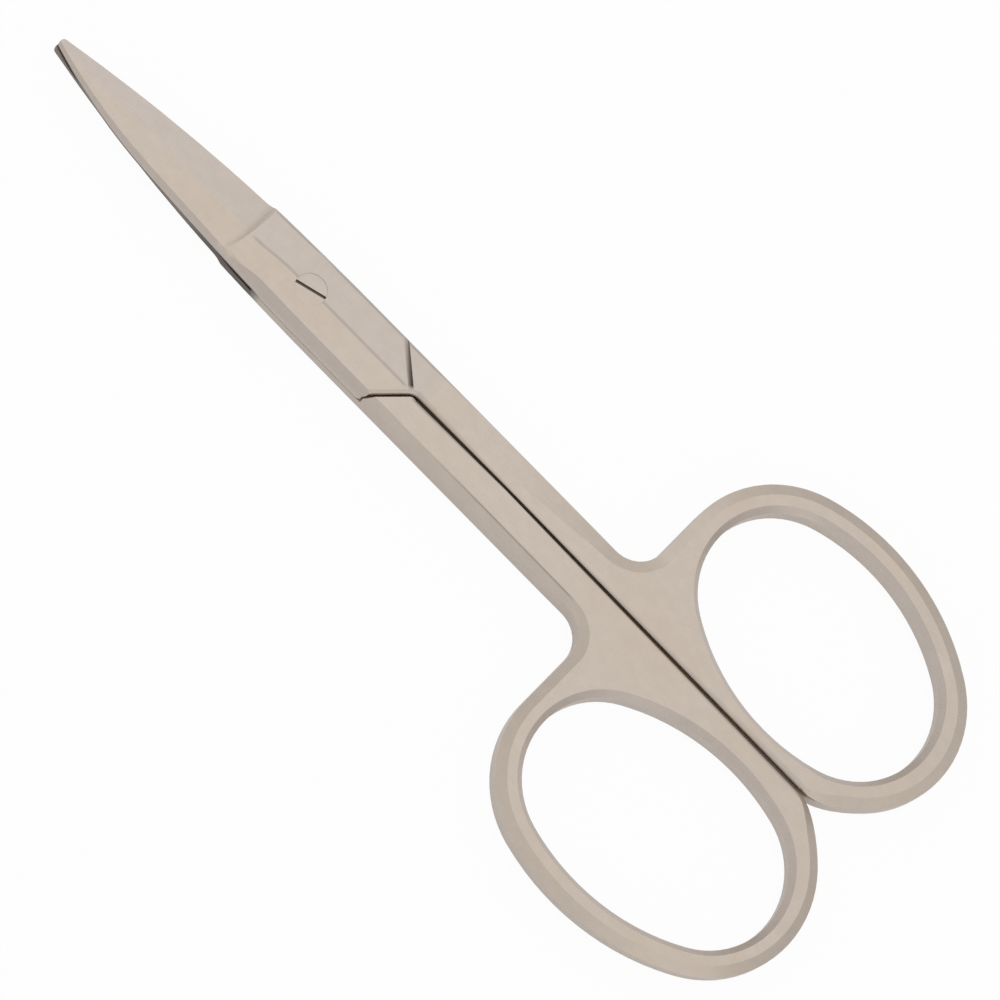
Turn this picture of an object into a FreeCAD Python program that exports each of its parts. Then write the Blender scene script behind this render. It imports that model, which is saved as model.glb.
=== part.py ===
"""Cuticle scissors, closed: two forged steel halves that cross at a slotted pivot screw.

Each half is one piece of steel: a ground blade, a joint plate, a shank and a finger ring.
The two halves have the same shape, one turned half a turn about the long axis.
In each half's own frame the pivot axis is Z, the blade points along +X and the handle
leaves on the -Y side. The middle plane between the two halves is z = 0.
"""
import FreeCAD
import Part
import Sketcher

import math
import os

# Driving sizes in millimetres and degrees: name, value, meaning
SIZES = [
    ("blade_reach", "27.35", "pivot axis to the blade tips"),
    ("handle_reach", "61.55", "pivot axis to the far end of the finger rings"),
    ("joint_width", "6.25", "width across the joint, the same as across both shanks"),
    ("joint_thickness", "2.8", "thickness of the closed joint over both halves"),
    ("ring_end_thickness", "1.8", "thickness of a finger ring at its far end"),
    ("shank_gap", "0.2", "gap between the two shanks"),
    ("face_gap", "0.05", "gap between the two flat joint faces"),
    ("edge_radius", "0.5", "rounding of every forged edge"),
    ("vee_apex", "11.55", "pivot axis to the apex of the shoulder vee"),
    ("vee_edge", "8.9", "pivot axis to where the vee meets the joint's side"),
    ("vee_corner", "0.8", "radius that leads the vee's open arm into the side"),
    ("vee_root", "0.9", "rounding of a shank's corner at the apex of the vee"),
    ("shoulder_gap", "0.2", "gap between a joint plate and the other half's shoulder"),
    ("crease_start_share", "0.69", "share of the shank where the ridged face starts to end"),
    ("crease_end_share", "0.97", "share of the shank where the ridged face has ended"),
    ("groove_width", "0.42", "width of the groove along the vee's closed arm"),
    ("groove_depth", "0.3", "depth of that groove below the ridge"),
    ("groove_apex", "11.05", "pivot axis to the groove's end at the long axis"),
    ("groove_edge", "7.6", "pivot axis to the groove's end at the joint's side"),
    ("opening_length", "23.2", "length of a finger opening"),
    ("upper_opening_width", "16.6", "width of the upper half's finger opening"),
    ("lower_opening_width", "15.9", "width of the lower half's finger opening"),
    ("opening_end_share", "0.44", "end radius of a finger opening, as a share of its width"),
    ("opening_tilt", "8", "slant of a finger opening, its joint end further out"),
    ("upper_ring_width", "2.35", "width of the bar round the outside of the upper ring"),
    ("lower_ring_width", "2.15", "width of the bar round the outside of the lower ring"),
    ("upper_far_bar", "2.5", "width of the bar at the far end of the upper ring"),
    ("lower_far_bar", "2.2", "width of the bar at the far end of the lower ring"),
    ("upper_inner_bar", "1.45", "least width of the bar beside the gap, upper ring"),
    ("lower_inner_bar", "2.3", "least width of the bar beside the gap, lower ring"),
    ("crotch_radius", "2.7", "inside corner between a shank and its ring"),
    ("blade_lead", "4", "pivot axis back to where the joint's sides begin to converge"),
    ("blade_bend_share", "0.575", "share of the blade where its spine bends more sharply"),
    ("blade_drop", "0.68", "how far the sides have come in at that bend"),
    ("blank_margin", "0.3", "length forged past the tip and cut off"),
    ("tip_spine", "0.15", "height of the spine above the long axis at the tip"),
    ("tip_edge", "0.5", "drop of the cutting edge below the long axis at the tip"),
    ("tip_radius", "0.32", "rounding of the blunt tip seen from above"),
    ("cutting_radius", "140", "radius of the slightly bowed cutting edge"),
    ("plunge_reach", "7.25", "pivot axis to where the flat ground face begins"),
    ("plunge_radius", "1.3", "radius of the hollow where the ground face runs out"),
    ("spine_height", "1.25", "blade thickness at the spine where the flat begins"),
    ("edge_height", "0.75", "height of the cutting edge there above the middle plane"),
    ("edge_inset", "0.13", "how far the cutting edge lies inside the joint's side there"),
    ("tip_height", "0.42", "blade thickness at the tip"),
    ("bevel_lead", "0.25", "bevel of the spine where it leaves the joint's rounding"),
    ("spine_bevel", "0.36", "width and depth of the spine's bevel at the bend"),
    ("tip_bevel", "0.28", "width and depth of the spine's bevel at the tip"),
    ("relief_start", "3.2", "pivot axis to where the inner face is relieved"),
    ("relief_depth", "0.14", "relief of the inner face just ahead of the joint"),
    ("screw_diameter", "2", "pivot screw shank"),
    ("screw_clearance", "0.03", "radial clearance of the shank in the moving half"),
    ("thread_clearance", "0.01", "radial clearance left for the thread"),
    ("head_diameter", "2.66", "pivot screw head"),
    ("head_clearance", "0.02", "radial clearance of the head in its recess"),
    ("head_height", "0.66", "height of the screw head"),
    ("head_sink", "0.05", "depth of the head's face below the ridge"),
    ("seat_clearance", "0.02", "clearance under the head"),
    ("screw_end_sink", "0.02", "depth of the screw's end below the far ridge"),
    ("head_bevel", "0.03", "bevel round the screw head"),
    ("slot_width", "0.25", "width of the screw slot"),
    ("slot_depth", "0.34", "depth of the screw slot"),
    ("slot_turn", "16", "turn of the slot from the long axis"),
    ("overrun", "3", "how far a cut runs past the steel"),
]


def make_sheet(doc):
    """Put the driving sizes into a spreadsheet, each under its own alias."""
    sheet = doc.addObject("Spreadsheet::Sheet", "Sizes")
    for row, (alias, value, meaning) in enumerate(SIZES, start=1):
        sheet.set(f"A{row}", meaning)
        sheet.set(f"B{row}", value)
        sheet.setAlias(f"B{row}", alias)
    doc.recompute()
    return sheet


# Lengths worked out from the driving sizes
HALF_WIDTH = "(Sizes.joint_width / 2)"
HALF_GAP = "(Sizes.shank_gap / 2)"
TOP = "(Sizes.joint_thickness / 2)"
END_TOP = "(Sizes.ring_end_thickness / 2)"
FACE = "(Sizes.face_gap / 2)"

# The slant of the finger openings
COS_TILT = "cos(Sizes.opening_tilt)"
SIN_TILT = "sin(Sizes.opening_tilt)"

# The shoulder vee: slope of its arms, and the shift that opens the shoulder gap
VEE_RUN = "(Sizes.vee_apex - Sizes.vee_edge)"
VEE_RISE = f"({HALF_WIDTH} - {HALF_GAP})"
VEE_LENGTH = f"sqrt({VEE_RUN}^2 + {VEE_RISE}^2)"
VEE_SHIFT = f"(Sizes.shoulder_gap * {VEE_LENGTH} / {VEE_RISE})"
VEE_SLANT = f"({VEE_RUN} / {VEE_RISE})"
VEE_TURN = f"(({VEE_LENGTH} - {VEE_RUN}) / {VEE_RISE})"
NOTCH_X = f"({VEE_SHIFT} - Sizes.vee_apex - 2 * {HALF_GAP} * {VEE_RUN} / {VEE_RISE})"
ROOT_RADIUS = "(Sizes.vee_root + Sizes.shoulder_gap)"
ROOT_X = f"({NOTCH_X} - {ROOT_RADIUS} * {VEE_TURN})"
ROOT_ARM_X = f"({NOTCH_X} + {ROOT_RADIUS} * {VEE_TURN} * {VEE_RUN} / {VEE_LENGTH})"
ROOT_ARM_Y = f"({ROOT_RADIUS} * {VEE_TURN} * {VEE_RISE} / {VEE_LENGTH} - {HALF_GAP})"
ARM_Y = f"({HALF_WIDTH} - Sizes.vee_corner + Sizes.vee_corner * {VEE_RUN} / {VEE_LENGTH})"
ARM_X = f"({NOTCH_X} + ({ARM_Y} + {HALF_GAP}) * {VEE_RUN} / {VEE_RISE})"
CORNER_X = f"({ARM_X} + Sizes.vee_corner * {VEE_RISE} / {VEE_LENGTH})"

# The joint's sides come in along a long arc; the spine's second arc passes through the tip
BEND_X = "(Sizes.blade_bend_share * Sizes.blade_reach)"
SIDE_RUN = f"({BEND_X} + Sizes.blade_lead)"
SIDE_ARC = f"(({SIDE_RUN}^2 + Sizes.blade_drop^2) / (2 * Sizes.blade_drop))"
SIDE_ARC_Y = f"({HALF_WIDTH} - {SIDE_ARC})"
BEND_Y = f"({HALF_WIDTH} - Sizes.blade_drop)"
TIP_RUN = f"(Sizes.blade_reach - {BEND_X})"
TIP_FALL = f"({BEND_Y} - Sizes.tip_spine)"
TIP_ARC = (
    f"({SIDE_ARC} * ({TIP_RUN}^2 + {TIP_FALL}^2)"
    f" / (2 * ({TIP_FALL} * ({SIDE_ARC} - Sizes.blade_drop) - {TIP_RUN} * {SIDE_RUN})))"
)
EDGE_RUN = "(Sizes.plunge_reach + Sizes.blade_lead)"
EDGE_Y = f"(-{SIDE_ARC_Y} - sqrt({SIDE_ARC}^2 - {EDGE_RUN}^2))"
BLANK_X = "(Sizes.blade_reach + Sizes.blank_margin)"

# The ground face: its height on the long axis, and its slopes along and across the blade
GROUND_MID = "((Sizes.spine_height + Sizes.edge_height) / 2)"
GROUND_ACROSS = "((Sizes.spine_height - Sizes.edge_height) / Sizes.joint_width)"
GROUND_ALONG = (
    f"((Sizes.tip_height - {GROUND_MID}) / (Sizes.blade_reach - Sizes.plunge_reach))"
)

# The pivot screw's radii and heights
SCREW_RADIUS = "(Sizes.screw_diameter / 2)"
HEAD_RADIUS = "(Sizes.head_diameter / 2)"
HEAD_TOP = f"({TOP} - Sizes.head_sink)"
HEAD_UNDER = f"({HEAD_TOP} - Sizes.head_height)"
SCREW_END = f"(Sizes.screw_end_sink - {TOP})"
CLEAR_Z = f"({TOP} + Sizes.overrun)"


class Ring:
    """Expressions for the finger ring of one half, whose own sizes are named after side."""

    def __init__(self, side):
        width = f"Sizes.{side}_opening_width"
        bar = f"Sizes.{side}_ring_width"
        far_bar = f"Sizes.{side}_far_bar"
        inner_bar = f"Sizes.{side}_inner_bar"
        # The finger opening is an oval of four arcs, two ends and two sides
        self.end_radius = f"(Sizes.opening_end_share * {width})"
        end_reach = f"(Sizes.opening_length / 2 - {self.end_radius})"
        squares = f"({end_reach}^2 + ({width} / 2)^2 - {self.end_radius}^2)"
        self.side_radius = f"({squares} / ({width} - 2 * {self.end_radius}))"
        side_reach = f"({self.side_radius} - {width} / 2)"
        self.outer_side = f"({self.side_radius} + {bar})"
        self.outer_end = f"({self.end_radius} + {bar})"
        reach_x = f"({end_reach} * {COS_TILT})"
        reach_y = f"({end_reach} * {SIN_TILT})"
        side_x = f"({side_reach} * {SIN_TILT})"
        side_y = f"({side_reach} * {COS_TILT})"
        # Middle of the opening, set by the bars at the far end and beside the gap
        self.x = f"({far_bar} + {reach_x} + {self.end_radius} - Sizes.handle_reach)"
        self.y = f"({side_y} - {self.side_radius} - {inner_bar} - {HALF_GAP})"
        # Centres of the opening's four arcs
        self.front_x = f"({self.x} + {reach_x})"
        self.front_y = f"({self.y} - {reach_y})"
        self.back_x = f"({self.x} - {reach_x})"
        self.back_y = f"({self.y} + {reach_y})"
        self.outer_x = f"({self.x} + {side_x})"
        self.outer_y = f"({self.y} + {side_y})"
        self.inner_x = f"({self.x} - {side_x})"
        self.inner_y = f"({self.y} - {side_y})"
        # Outside of the far end: an arc that touches the gap, the reach and the side arc
        run = f"(Sizes.handle_reach + {self.outer_x})"
        rise = f"({HALF_GAP} + {self.outer_y})"
        half_sum = f"({rise} - {run} + {self.outer_side})"
        rest = f"({run}^2 + {rise}^2 - {self.outer_side}^2)"
        self.far_radius = f"(sqrt({half_sum}^2 - {rest}) - {half_sum})"
        self.far_x = f"({self.far_radius} - Sizes.handle_reach)"
        self.far_y = f"(-{HALF_GAP} - {self.far_radius})"
        # The straight front of the ring, and the corner where it meets the shank
        self.wall_x = f"({self.front_x} + {self.outer_end})"
        self.crotch_x = f"({self.wall_x} + Sizes.crotch_radius)"
        self.crotch_y = f"(-{HALF_WIDTH} - Sizes.crotch_radius)"
        # Both faces thin evenly from the crease's start to the far end of the ring
        self.taper_x = f"(Sizes.crease_start_share * {self.crotch_x})"
        self.taper = f"(({TOP} - {END_TOP}) / (Sizes.handle_reach + {self.taper_x}))"
        shares = "(Sizes.crease_end_share - Sizes.crease_start_share)"
        self.ridge_fall = f"(-{self.taper} * {self.crotch_x} * {shares})"


class Maker:
    """Adds sketches and features to one body, every size bound to the sheet."""

    def __init__(self, doc, label):
        self.doc = doc
        self.sheet = doc.Sizes
        self.body = doc.addObject("PartDesign::Body", label)
        self.body.Label = label

    def value(self, expression):
        """The number that an expression has with the present sizes."""
        result = self.sheet.evalExpression(expression)
        return float(getattr(result, "Value", result))

    def point(self, across, along):
        return FreeCAD.Vector(self.value(across), self.value(along), 0)

    def sketch(self, name, role, lift=None):
        """A sketch on one of the body's own planes, moved along its normal by lift."""
        plane = [f for f in self.body.Origin.OriginFeatures if f.Role == role][0]
        sketch = self.body.newObject("Sketcher::SketchObject", f"{self.body.Label}_{name}")
        sketch.AttachmentSupport = [(plane, "")]
        sketch.MapMode = "FlatFace"
        if lift is not None:
            sketch.setExpression("AttachmentOffset.Base.z", lift)
        return sketch

    def bind(self, sketch, name, kind, *where):
        """Add a dimension; the last item of where is the expression that drives it."""
        expression = where[-1]
        constraint = Sketcher.Constraint(kind, *where[:-1], self.value(expression))
        index = sketch.addConstraint(constraint)
        sketch.renameConstraint(index, name)
        sketch.setExpression(f"Constraints.{name}", expression)

    def polygon(self, sketch, corners):
        """A closed polygon whose corners are pairs of expressions."""
        points = [self.point(*corner) for corner in corners]
        count = len(points)
        for index in range(count):
            segment = Part.LineSegment(points[index], points[(index + 1) % count])
            sketch.addGeometry(segment, False)
        for index in range(count):
            joined = Sketcher.Constraint("Coincident", index, 2, (index + 1) % count, 1)
            sketch.addConstraint(joined)
        for index, (across, along) in enumerate(corners):
            self.bind(sketch, f"x{index}", "DistanceX", index, 1, across)
            self.bind(sketch, f"y{index}", "DistanceY", index, 1, along)

    def circle(self, sketch, radius):
        """A circle round the origin."""
        middle = FreeCAD.Vector(0, 0, 0)
        circle = Part.Circle(middle, FreeCAD.Vector(0, 0, 1), self.value(radius))
        index = sketch.addGeometry(circle, False)
        sketch.addConstraint(Sketcher.Constraint("Coincident", index, 3, -1, 1))
        self.bind(sketch, "radius", "Radius", index, radius)

    def pocket(self, name, sketch, reverse=False, both=False, across=None):
        """Cut a sketch through everything, square to it or along (0, 1, across)."""
        before = self.body.Shape.Volume
        pocket = self.body.newObject("PartDesign::Pocket", f"{self.body.Label}_{name}")
        pocket.Profile = sketch
        pocket.Type = "ThroughAll"
        pocket.Midplane = both
        pocket.Reversed = reverse
        if across is not None:
            pocket.UseCustomVector = True
            pocket.Direction = FreeCAD.Vector(0, 1, self.value(across))
            pocket.setExpression("Direction.y", "1")
            pocket.setExpression("Direction.z", across)
        self.doc.recompute()
        if not self.body.Shape.Volume < before:
            raise ValueError(f"{pocket.Name} removed nothing")
        return pocket


def arc(centre, radius, start, end):
    """An arc counter-clockwise between two angles in radians."""
    circle = Part.Circle(centre, FreeCAD.Vector(0, 0, 1), radius)
    return Part.ArcOfCircle(circle, start, end)


def towards(start, end):
    return math.atan2(end.y - start.y, end.x - start.x)


def plan_outline(maker, ring):
    """The outline of a whole half: shank, ring, joint plate and a square-ended blade."""
    sketch = maker.sketch("plan", "XY_Plane")
    quarter = math.pi / 2
    gap_y = f"(-{HALF_GAP})"
    side_y = f"(-{HALF_WIDTH})"
    half_width = maker.value(HALF_WIDTH)

    # The ring's outside, from the gap round to the shank
    gap_start = maker.point(ROOT_X, gap_y)
    far = maker.point(ring.far_x, ring.far_y)
    side = maker.point(ring.outer_x, ring.outer_y)
    front = maker.point(ring.front_x, ring.front_y)
    crotch = maker.point(ring.crotch_x, ring.crotch_y)
    far_angle = towards(side, far) + 4 * quarter
    front_angle = towards(side, front) + 4 * quarter
    gap_end = maker.point(ring.far_x, gap_y)
    wall_low = maker.point(ring.wall_x, ring.front_y)
    wall_high = maker.point(ring.wall_x, ring.crotch_y)
    shank_start = maker.point(ring.crotch_x, side_y)

    # The side with the cutting edge: straight, a long arc, then straight past the tip
    shank_end = maker.point("-Sizes.blade_lead", side_y)
    edge_centre = maker.point("-Sizes.blade_lead", f"-{SIDE_ARC_Y}")
    edge_end = maker.point("Sizes.plunge_reach", EDGE_Y)
    edge_angle = towards(edge_centre, edge_end) + 4 * quarter
    edge_slope = f"({EDGE_RUN} / sqrt({SIDE_ARC}^2 - {EDGE_RUN}^2))"
    blank_run = f"({BLANK_X} - Sizes.plunge_reach)"
    blank_low = maker.point(BLANK_X, f"{EDGE_Y} + {blank_run} * {edge_slope}")

    # The spine: the same long arc, then one that passes through the tip
    spine = maker.point("-Sizes.blade_lead", SIDE_ARC_Y)
    bend = maker.point(BEND_X, BEND_Y)
    bend_angle = towards(spine, bend)
    side_arc = maker.value(SIDE_ARC)
    tip_arc_radius = maker.value(TIP_ARC)
    tip_centre = bend + (spine - bend) * (tip_arc_radius / side_arc)
    end_angle = math.acos((blank_low.x - tip_centre.x) / tip_arc_radius)
    outward = FreeCAD.Vector(math.cos(end_angle), math.sin(end_angle), 0)
    blank_high = tip_centre + outward * tip_arc_radius
    spine_start = maker.point("-Sizes.blade_lead", HALF_WIDTH)

    # The vee's open arm ends in an arc tangent to the arm and to the side
    corner = maker.point(CORNER_X, f"{HALF_WIDTH} - Sizes.vee_corner")
    arm_end = maker.point(ARM_X, ARM_Y)
    corner_top = FreeCAD.Vector(corner.x, half_width, 0)
    root = maker.point(ROOT_X, f"{ROOT_RADIUS} - {HALF_GAP}")
    arm_start = maker.point(ROOT_ARM_X, ROOT_ARM_Y)
    root_angle = towards(root, arm_start) + 4 * quarter

    pieces = [
        Part.LineSegment(gap_start, gap_end),
        arc(far, maker.value(ring.far_radius), quarter, far_angle),
        arc(side, maker.value(ring.outer_side), far_angle, front_angle),
        arc(front, maker.value(ring.outer_end), front_angle, 4 * quarter),
        Part.LineSegment(wall_low, wall_high),
        arc(crotch, maker.value("Sizes.crotch_radius"), quarter, 2 * quarter),
        Part.LineSegment(shank_start, shank_end),
        arc(edge_centre, side_arc, 3 * quarter, edge_angle),
        Part.LineSegment(edge_end, blank_low),
        Part.LineSegment(blank_low, blank_high),
        arc(tip_centre, tip_arc_radius, end_angle, bend_angle),
        arc(spine, side_arc, bend_angle, quarter),
        Part.LineSegment(spine_start, corner_top),
        arc(corner, maker.value("Sizes.vee_corner"), quarter, towards(corner, arm_end)),
        Part.LineSegment(arm_end, arm_start),
        arc(root, maker.value(ROOT_RADIUS), 3 * quarter, root_angle),
    ]
    for piece in pieces:
        sketch.addGeometry(piece, False)
    (gap, far_arc, side_piece, front_arc, wall, crotch_arc, shank, edge_arc, edge_line,
     blank_end, tip_arc, spine_arc, plate, corner_arc, arm, root_arc) = range(len(pieces))
    smooth = [
        (gap, 2, far_arc, 1), (far_arc, 2, side_piece, 1), (side_piece, 2, front_arc, 1),
        (front_arc, 2, wall, 1), (wall, 2, crotch_arc, 2), (crotch_arc, 1, shank, 1),
        (shank, 2, edge_arc, 1), (edge_arc, 2, edge_line, 1), (tip_arc, 2, spine_arc, 1),
        (spine_arc, 2, plate, 1), (plate, 2, corner_arc, 1), (corner_arc, 2, arm, 1),
        (arm, 2, root_arc, 2), (root_arc, 1, gap, 1),
    ]
    sharp = [(edge_line, 2, blank_end, 1), (blank_end, 2, tip_arc, 1)]
    for pair in smooth:
        sketch.addConstraint(Sketcher.Constraint("Tangent", *pair))
    for pair in sharp:
        sketch.addConstraint(Sketcher.Constraint("Coincident", *pair))
    for level in (gap, shank, plate):
        sketch.addConstraint(Sketcher.Constraint("Horizontal", level))
    for upright in (wall, blank_end):
        sketch.addConstraint(Sketcher.Constraint("Vertical", upright))
    maker.bind(sketch, "gap_y", "DistanceY", gap, 1, gap_y)
    maker.bind(sketch, "root_radius", "Radius", root_arc, ROOT_RADIUS)
    maker.bind(sketch, "root_x", "DistanceX", root_arc, 3, ROOT_X)
    maker.bind(sketch, "far_radius", "Radius", far_arc, ring.far_radius)
    maker.bind(sketch, "far_x", "DistanceX", far_arc, 3, ring.far_x)
    maker.bind(sketch, "side_radius", "Radius", side_piece, ring.outer_side)
    maker.bind(sketch, "front_radius", "Radius", front_arc, ring.outer_end)
    maker.bind(sketch, "front_x", "DistanceX", front_arc, 3, ring.front_x)
    maker.bind(sketch, "front_y", "DistanceY", front_arc, 3, ring.front_y)
    maker.bind(sketch, "crotch_radius", "Radius", crotch_arc, "Sizes.crotch_radius")
    maker.bind(sketch, "shank_y", "DistanceY", shank, 1, side_y)
    maker.bind(sketch, "edge_lead", "DistanceX", shank, 2, "-Sizes.blade_lead")
    maker.bind(sketch, "edge_arc", "Radius", edge_arc, SIDE_ARC)
    maker.bind(sketch, "edge_end", "DistanceX", edge_arc, 2, "Sizes.plunge_reach")
    maker.bind(sketch, "blank_x", "DistanceX", edge_line, 2, BLANK_X)
    maker.bind(sketch, "spine_arc", "Radius", spine_arc, SIDE_ARC)
    maker.bind(sketch, "spine_lead", "DistanceX", spine_arc, 3, "-Sizes.blade_lead")
    maker.bind(sketch, "spine_bend", "DistanceX", spine_arc, 1, BEND_X)
    maker.bind(sketch, "tip_arc", "Radius", tip_arc, TIP_ARC)
    maker.bind(sketch, "plate_y", "DistanceY", plate, 1, HALF_WIDTH)
    maker.bind(sketch, "vee_corner", "Radius", corner_arc, "Sizes.vee_corner")
    maker.bind(sketch, "corner_x", "DistanceX", corner_arc, 3, CORNER_X)
    return sketch


def opening_outline(maker, ring):
    """The finger opening: an oval of four arcs that meet smoothly."""
    sketch = maker.sketch("opening", "XY_Plane")
    back = maker.point(ring.back_x, ring.back_y)
    front = maker.point(ring.front_x, ring.front_y)
    outer = maker.point(ring.outer_x, ring.outer_y)
    inner = maker.point(ring.inner_x, ring.inner_y)
    turn = 2 * math.pi
    out_back = towards(outer, back) + turn
    out_front = towards(outer, front) + turn
    in_front = towards(inner, front)
    in_back = towards(inner, back)
    end_radius = maker.value(ring.end_radius)
    side_radius = maker.value(ring.side_radius)
    pieces = [
        arc(outer, side_radius, out_back, out_front),
        arc(front, end_radius, out_front, in_front + turn),
        arc(inner, side_radius, in_front, in_back),
        arc(back, end_radius, in_back, out_back),
    ]
    for piece in pieces:
        sketch.addGeometry(piece, False)
    for index in range(len(pieces)):
        following = (index + 1) % len(pieces)
        sketch.addConstraint(Sketcher.Constraint("Tangent", index, 2, following, 1))
    sketch.addConstraint(Sketcher.Constraint("Equal", 0, 2))
    sketch.addConstraint(Sketcher.Constraint("Equal", 1, 3))
    maker.bind(sketch, "end_radius", "Radius", 1, ring.end_radius)
    maker.bind(sketch, "side_radius", "Radius", 0, ring.side_radius)
    maker.bind(sketch, "front_x", "DistanceX", 1, 3, ring.front_x)
    maker.bind(sketch, "front_y", "DistanceY", 1, 3, ring.front_y)
    maker.bind(sketch, "back_x", "DistanceX", 3, 3, ring.back_x)
    maker.bind(sketch, "back_y", "DistanceY", 3, 3, ring.back_y)
    return sketch


def forged_blank(maker, ring):
    """The half as forged: full thickness, tapered towards the ring, ridged and rounded."""
    body = maker.body
    pad = body.newObject("PartDesign::Pad", f"{body.Label}_forging")
    pad.Profile = plan_outline(maker, ring)
    pad.setExpression("Length", "Sizes.joint_thickness")
    pad.Midplane = True
    maker.doc.recompute()
    maker.pocket("finger_opening", opening_outline(maker, ring), both=True)

    # Both faces thin towards the ring
    start = ring.taper_x
    end = "(-Sizes.handle_reach - Sizes.overrun)"
    end_z = f"({END_TOP} - {ring.taper} * Sizes.overrun)"
    for name, sign in (("upper", ""), ("lower", "-")):
        sketch = maker.sketch(f"taper_{name}", "XZ_Plane")
        corners = [(start, f"{sign}{TOP}"), (end, f"{sign}{end_z}")]
        corners += [(end, f"{sign}{CLEAR_Z}"), (start, f"{sign}{CLEAR_Z}")]
        maker.polygon(sketch, corners)
        maker.pocket(f"thin_{name}", sketch, both=True)

    # The outer face falls to both sides of a ridge along the middle
    margin = f"({HALF_WIDTH} + Sizes.face_gap)"
    fall_z = f"({TOP} - {ring.ridge_fall} * {margin} / {HALF_WIDTH})"
    for name, sign in (("spine", ""), ("edge", "-")):
        sketch = maker.sketch(f"facet_{name}", "YZ_Plane")
        corners = [("0", TOP), (f"{sign}{margin}", fall_z)]
        corners += [(f"{sign}{margin}", CLEAR_Z), ("0", CLEAR_Z)]
        maker.polygon(sketch, corners)
        maker.pocket(f"ridge_{name}", sketch, both=True)

    # Every forged edge is rounded, all but the blade's square end, which is cut off later
    blank_end = maker.value(f"{BLANK_X} - Sizes.face_gap")
    rims = [name for name, middle in rim_edges(body.Shape) if middle.x < blank_end]
    forging = body.Tip
    rounding = body.newObject("PartDesign::Fillet", f"{body.Label}_rounding")
    rounding.Base = (forging, rims)
    rounding.setExpression("Radius", "Sizes.edge_radius")
    maker.doc.recompute()


def rim_edges(shape):
    """Names and middles of the edges between an upright wall and a nearly level face."""
    found = []
    level_share = 0.9
    upright_share = 0.05
    for number, edge in enumerate(shape.Edges, start=1):
        middle = edge.valueAt((edge.FirstParameter + edge.LastParameter) / 2)
        tilts = []
        for face in shape.ancestorsOfType(edge, Part.Face):
            across, along = face.Surface.parameter(middle)
            tilts.append(abs(face.normalAt(across, along).z))
        if min(tilts) < upright_share and max(tilts) > level_share:
            found.append((f"Edge{number}", middle))
    return found


def vee_outline(maker, name, lift, sign, meet_x, root, corner, end_y, far_x):
    """A cut along the vee, rounded at its root and where it runs out at the joint's side.

    The arm's line leaves the gap's wall at meet_x and rises or, with sign -1, falls to end_y.
    The outline is closed at far_x, clear of the joint's side.
    """
    upward = maker.value(sign) > 0
    root_x = f"({meet_x} - {root} * {VEE_TURN})"
    root_y = f"({sign} * {root} - {HALF_GAP})"
    rise = f"({sign} * ({end_y} + {HALF_GAP}))"
    corner_x = f"({meet_x} + {rise} * {VEE_SLANT} + {corner} * {VEE_TURN})"
    corner_y = f"({end_y} - {sign} * {corner})"
    side = f"({HALF_WIDTH} + Sizes.overrun)"
    sketch = maker.sketch(name, "XY_Plane", lift)
    root_centre = maker.point(root_x, root_y)
    corner_centre = maker.point(corner_x, corner_y)
    gap_point = maker.point(root_x, f"-{HALF_GAP}")
    end_point = maker.point(corner_x, end_y)
    square = maker.point(VEE_RISE, f"(-1) * {sign} * {VEE_RUN}")
    square = square / square.Length
    arm_start = root_centre + square * maker.value(root)
    arm_end = corner_centre - square * maker.value(corner)
    if upward:
        round_root = (gap_point, arm_start)
        round_corner = (end_point, arm_end)
        closing = [(corner_x, side), (far_x, side), (far_x, f"-{HALF_GAP}")]
        root_gap, root_arm, corner_end, corner_arm = 1, 2, 1, 2
    else:
        round_root = (arm_start, gap_point)
        round_corner = (arm_end, end_point)
        closing = [(far_x, end_y), (far_x, side), (root_x, side)]
        root_gap, root_arm, corner_end, corner_arm = 2, 1, 2, 1
    arcs = [(root_centre, root, round_root), (corner_centre, corner, round_corner)]
    for centre, radius, (first, second) in arcs:
        bow = arc(centre, maker.value(radius), towards(centre, first), towards(centre, second))
        sketch.addGeometry(bow, False)
    sketch.addGeometry(Part.LineSegment(arm_start, arm_end), False)
    corners = [end_point] + [maker.point(*place) for place in closing] + [gap_point]
    for first, second in zip(corners, corners[1:]):
        sketch.addGeometry(Part.LineSegment(first, second), False)
    root_arc, corner_arc, arm, leave, cross, back, enter = range(len(corners) + 2)
    sketch.addConstraint(Sketcher.Constraint("Tangent", arm, 1, root_arc, root_arm))
    sketch.addConstraint(Sketcher.Constraint("Tangent", arm, 2, corner_arc, corner_arm))
    pairs = [(corner_arc, corner_end, leave, 1), (leave, 2, cross, 1), (cross, 2, back, 1)]
    pairs += [(back, 2, enter, 1), (enter, 2, root_arc, root_gap)]
    for pair in pairs:
        sketch.addConstraint(Sketcher.Constraint("Coincident", *pair))
    for number, line in enumerate((leave, cross, back, enter)):
        level = (number % 2 == 1) == upward
        sketch.addConstraint(Sketcher.Constraint("Horizontal" if level else "Vertical", line))
    maker.bind(sketch, "root_radius", "Radius", root_arc, root)
    maker.bind(sketch, "root_x", "DistanceX", root_arc, 3, root_x)
    maker.bind(sketch, "root_y", "DistanceY", root_arc, 3, root_y)
    maker.bind(sketch, "gap_x", "DistanceX", root_arc, root_gap, root_x)
    maker.bind(sketch, "corner_radius", "Radius", corner_arc, corner)
    maker.bind(sketch, "corner_x", "DistanceX", corner_arc, 3, corner_x)
    maker.bind(sketch, "corner_y", "DistanceY", corner_arc, 3, corner_y)
    maker.bind(sketch, "end_x", "DistanceX", corner_arc, corner_end, corner_x)
    maker.bind(sketch, "far_x", "DistanceX", cross, 2, far_x)
    maker.bind(sketch, "side_y", "DistanceY", cross, 2, side)
    return sketch


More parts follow.
